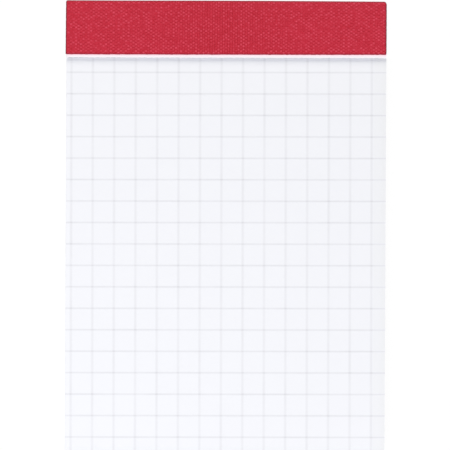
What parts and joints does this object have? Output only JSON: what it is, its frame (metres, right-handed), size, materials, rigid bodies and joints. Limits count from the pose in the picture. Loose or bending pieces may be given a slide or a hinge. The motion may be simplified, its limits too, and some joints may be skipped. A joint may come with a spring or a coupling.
{
  "type": "legal pad",
  "caption": "Small top-bound writing pad of squared white leaves on a grey board, with a red cloth-grained strip folded over its stapled head and the stub of a torn leaf.",
  "frame": {"origin": "under the middle of the pad's length and width, on the plane that its lowest face rests on", "axes": "+X across the page to the reader's right, +Y along the page towards the bound head, +Z out of the page"},
  "size_m": [0.0748, 0.1052, 0.0088],
  "materials": {
    "white_paper": "uncoated, smooth, matte",
    "grey_ink": "thin grey print on paper, matte",
    "grey_board": "recycled chipboard with fibre flecks, matte",
    "red_cloth": "red plain-weave binding cloth, glued, satin",
    "staple_wire": "bright galvanised wire"
  },
  "bodies": {
    "root": {"ruled_sheets": "white_paper", "torn_sheet_stub": "white_paper", "printed_ruling": "grey_ink", "backing_board": "grey_board", "binding_strip": "red_cloth", "staple_left": "staple_wire", "staple_right": "staple_wire"}
  },
  "joints": []
}
